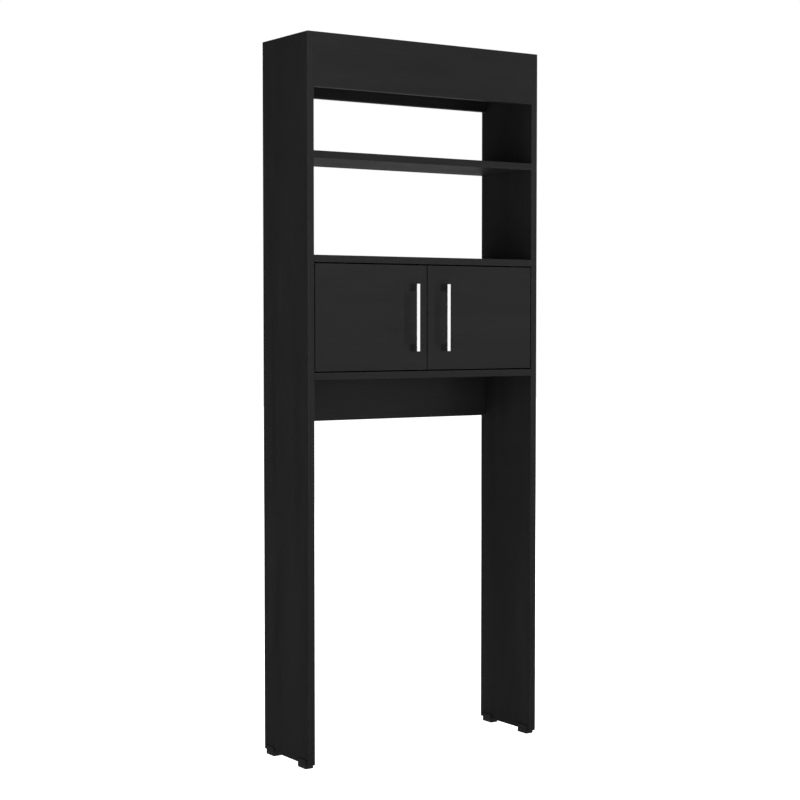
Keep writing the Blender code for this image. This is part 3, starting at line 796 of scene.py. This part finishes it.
    def make_plate(self):
        """The mounting plate: rounded wings, a raised rail, and the two screws into the side panel."""
        wing_outline = rounded(oblong(PLATE_DEPTH, PLATE_HEIGHT), PLATE_CORNER, 7)
        rail_outline = rounded(oblong(RAIL_DEPTH, RAIL_HEIGHT), RAIL_CORNER, 4)
        wings = laid(slab(wing_outline, CUT_GAP, PLATE_THICK), Y_AXIS, Z_AXIS)
        rail = laid(slab(rail_outline, CUT_GAP, RAIL_TOP), Y_AXIS, Z_AXIS)
        middle = sum(PLATE_DEPTH) / 2
        holes = []
        for z in PLATE_SCREW_HEIGHTS:
            hole = rod(PLATE_SCREW_HOLE, -OVERCUT, PLATE_THICK + OVERCUT, 16)
            holes.append(laid(hole, Y_AXIS, Z_AXIS, (0, middle, z)))
        shape = cut(join(wings, rail), *holes)
        self.make("mounting_plate", shape, "hinge_steel", "carcass", ["hinge_plate"], STEEL_EDGE)
        for number, z in enumerate(PLATE_SCREW_HEIGHTS):
            fixing = laid(screw(**PLATE_SCREW), Y_AXIS, Z_AXIS, (PLATE_THICK, middle, z))
            self.make(f"plate_screw_{number}", fixing, "screw_steel", "carcass")


def make_hinges(side):
    for level in LEVELS:
        hinge = Hinge(side, level)
        hinge.make_cup()
        hinge.make_pin()
        hinge.make_arm()
        hinge.make_arm_cover()
        hinge.make_plate()


# ---------------------------------------------------------------- feet, brackets and caps


def make_foot(side, end):
    """The moulded glide, a U that clips round the side panel, with grip ribs along its lips."""
    node = f"foot_{side}_{end}"
    low, high = (Vector(corner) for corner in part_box(node))
    panel_low, panel_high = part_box(f"side_panel_{side}")
    middle = (low + high) / 2
    half = (high.x - low.x) / 2
    slot = (panel_high[0] - panel_low[0]) / 2 + CUT_GAP
    seat = panel_low[2] - CUT_GAP
    corners = [
        (-half, high.z, FOOT_LIP),
        (-half, 0, FOOT_TOE),
        (half, 0, FOOT_TOE),
        (half, high.z, FOOT_LIP),
        (slot, high.z, FOOT_MOUTH),
        (slot, seat, FOOT_SEAT),
        (-slot, seat, FOOT_SEAT),
        (-slot, high.z, FOOT_MOUTH),
    ]
    length = (high.y - low.y) / 2
    shape = laid(slab(rounded(corners, 0.0, 4), -length, length), X_AXIS, Z_AXIS, (middle.x, middle.y, 0))
    along = (low.y - OVERCUT, high.y + OVERCUT)
    grooves = []
    for outer in (low.x, high.x):
        across = (outer - GROOVE_DEPTH, outer + GROOVE_DEPTH)
        for row in range(GROOVE_COUNT):
            z = FIRST_GROOVE + row * GROOVE_PITCH
            grooves.append(block(across, along, (z, z + GROOVE_HEIGHT)))
    make_piece(f"{node}_glide", cut(shape, *grooves), "foot_plastic", "carcass", [node], FOOT_EDGE)


def make_wall_bracket(side):
    """The bent steel angle under the top panel, with a hole in each leg, and its screw."""
    node = f"wall_bracket_{side}"
    low, high = (Vector(corner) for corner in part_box(node))
    thick = BRACKET_THICK
    leg = high.z - low.z
    corners = [
        (0, 0, BRACKET_HEEL),
        (-leg, 0, BRACKET_TIP),
        (-leg, -thick, BRACKET_TIP),
        (-thick, -thick, BRACKET_BEND),
        (-thick, -leg, BRACKET_TIP),
        (0, -leg, BRACKET_TIP),
    ]
    half = (high.x - low.x) / 2
    middle_x = (low.x + high.x) / 2
    shape = laid(slab(rounded(corners, 0.0), -half, half), Y_AXIS, Z_AXIS, (middle_x, high.y, high.z))
    screw_node = f"bracket_screw_{side}"
    screw_low, screw_high = (Vector(corner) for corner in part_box(screw_node))
    screw_y = (screw_low.y + screw_high.y) / 2
    roof_hole = rod(BRACKET_HOLE, -thick - OVERCUT, OVERCUT, 32)
    laid(roof_hole, origin=(middle_x, screw_y, high.z))
    wall_hole = rod(BRACKET_HOLE, -thick - OVERCUT, OVERCUT, 32)
    laid(wall_hole, X_AXIS, -Z_AXIS, (middle_x, high.y, high.z + screw_y - high.y))
    shape = cut(shape, roof_hole, wall_hole)
    make_piece(f"{node}_angle", shape, "bracket_steel", "carcass", [node], BRACKET_EDGE)
    seat = screw_low.z + BRACKET_SCREW_HEAD
    head_radius = (screw_high.x - screw_low.x) / 2
    fixing = screw(head_radius, BRACKET_SCREW_HEAD, BRACKET_SCREW_SHANK, screw_high.z - seat)
    laid(fixing, X_AXIS, -Y_AXIS, (middle_x, screw_y, seat))
    make_piece(f"{screw_node}_pan_head", fixing, "screw_steel", "carcass", [screw_node])


def make_cam_caps():
    """A thin black cap pressed over each cam, on the underside of its board."""
    for name in NODES:
        if not name.startswith("cam_") or name.startswith("cam_bolt"):
            continue
        low, high = (Vector(corner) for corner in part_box(name))
        profile = [
            (0, 0),
            (CAP_RADIUS, 0),
            (CAP_RADIUS, CAP_HEIGHT * 0.25),
            (CAP_RADIUS * 0.97, CAP_HEIGHT * 0.65),
            (CAP_RADIUS * 0.88, CAP_HEIGHT * 0.92),
            (CAP_RADIUS * 0.6, CAP_HEIGHT),
            (0, CAP_HEIGHT),
        ]
        place = ((low.x + high.x) / 2, (low.y + high.y) / 2, low.z)
        cap = laid(turned(profile, 40), X_AXIS, -Y_AXIS, place)
        make_piece(f"{name}_cap", cap, "foot_plastic", "carcass")


# ---------------------------------------------------------------- stage, camera and light


def make_camera():
    data = bpy.data.cameras.new("camera")
    data.lens = CAMERA_LENS_MM
    data.sensor_width = SENSOR_MM
    camera = bpy.data.objects.new("camera", data)
    bpy.context.scene.collection.objects.link(camera)
    camera.location = CAMERA_PLACE
    camera.rotation_euler = Euler((math.pi / 2 - CAMERA_DIP, 0.0, -CAMERA_TURN))
    bpy.context.scene.camera = camera


def make_floor():
    """A white sweep that glows, as a lit studio floor does, and throws light up at the undersides."""
    mesh = bpy.data.meshes.new("floor")
    shape = bmesh.new()
    bmesh.ops.create_grid(shape, x_segments=1, y_segments=1, size=FLOOR_REACH)
    shape.to_mesh(mesh)
    shape.free()
    floor = bpy.data.objects.new("floor", mesh)
    bpy.context.scene.collection.objects.link(floor)
    look = Look("pale_floor", 0.9, specular=0.0)
    look.shader.inputs["Base Color"].default_value = (0.80, 0.80, 0.80, 1.0)
    look.shader.inputs["Emission Color"].default_value = (1.0, 1.0, 1.0, 1.0)
    look.shader.inputs["Emission Strength"].default_value = FLOOR_GLOW
    mesh.materials.append(look.material)
    floor.visible_glossy = False


def make_world():
    """A white backdrop behind the object, and a dim even light from all round."""
    world = bpy.data.worlds.new("studio")
    bpy.context.scene.world = world
    world.use_nodes = True
    tree = world.node_tree
    ambient = tree.nodes["Background"]
    ambient.inputs["Color"].default_value = (1.0, 1.0, 1.0, 1.0)
    ambient.inputs["Strength"].default_value = AMBIENT
    backdrop = tree.nodes.new("ShaderNodeBackground")
    backdrop.inputs["Color"].default_value = (1.0, 1.0, 1.0, 1.0)
    backdrop.inputs["Strength"].default_value = 1.0
    seen = tree.nodes.new("ShaderNodeLightPath")
    mix = tree.nodes.new("ShaderNodeMixShader")
    tree.links.new(seen.outputs["Is Camera Ray"], mix.inputs["Fac"])
    tree.links.new(ambient.outputs[0], mix.inputs[1])
    tree.links.new(backdrop.outputs[0], mix.inputs[2])
    tree.links.new(mix.outputs[0], tree.nodes["World Output"].inputs["Surface"])


def make_softbox(name, place, power, width, height):
    """A soft rectangular light, aimed at the object and hidden from the camera."""
    data = bpy.data.lights.new(name, "AREA")
    data.shape = "RECTANGLE"
    data.size = width
    data.size_y = height
    data.energy = power
    light = bpy.data.objects.new(name, data)
    bpy.context.scene.collection.objects.link(light)
    light.location = place
    light.rotation_euler = (Vector(place) - AIM).to_track_quat("Z", "Y").to_euler()
    light.visible_camera = False
    return light


def make_cards():
    """Dim white cards on all sides, which light only the metal and give it something to mirror."""
    metal = bpy.data.collections.new("metal_pieces")
    for piece in bpy.context.scene.objects:
        if piece.type == "MESH" and piece.data.materials and piece.data.materials[0] in METALS:
            metal.objects.link(piece)
    reach = CARD_SIZE / 2
    places = [(x * reach, y * reach, AIM.z) for x, y in ((-1, 0), (1, 0), (0, -1), (0, 1))]
    places += [(0.0, 0.0, CARD_LIFT), (0.0, 0.0, CARD_SIZE)]
    power = CARD_GLOW * math.pi * CARD_SIZE ** 2
    for number, place in enumerate(places):
        card = make_softbox(f"card_{number}", place, power, CARD_SIZE, CARD_SIZE)
        card.light_linking.receiver_collection = metal


def make_lights():
    make_world()
    make_cards()
    make_softbox("handle_softbox", (2.16, -3.35, 0.98), 1.9, 0.8, 0.8)
    make_softbox("front_softbox", (0.2, -3.8, 2.6), 24.5, 3.0, 3.0)
    make_softbox("low_front_softbox", (0.0, -3.7, 0.2), 2.8, 5.0, 1.2)
    make_softbox("left_softbox", (-4.0, -0.6, 1.9), 46.0, 2.4, 2.4)
    make_softbox("right_softbox", (4.0, -1.6, 1.6), 16.0, 2.4, 2.4)
    make_softbox("low_rear_softbox", (2.3, 3.4, 0.6), 3.3, 2.0, 2.0)
    make_softbox("high_rear_softbox", (2.4, 3.8, 2.9), 85.0, 4.0, 3.0)
    make_softbox("overhead_softbox", (1.6, 1.5, 4.2), 80.0, 2.4, 2.4)


# ---------------------------------------------------------------- making it all

finish_cad_nodes()
for side in SIDES:
    make_handle(side)
    make_handle_screws(side)
    make_hinges(side)
    make_wall_bracket(side)
    for end in ("front", "rear"):
        make_foot(side, end)
make_cam_caps()
make_camera()
make_floor()
make_lights()
bpy.context.scene.view_settings.view_transform = "Standard"
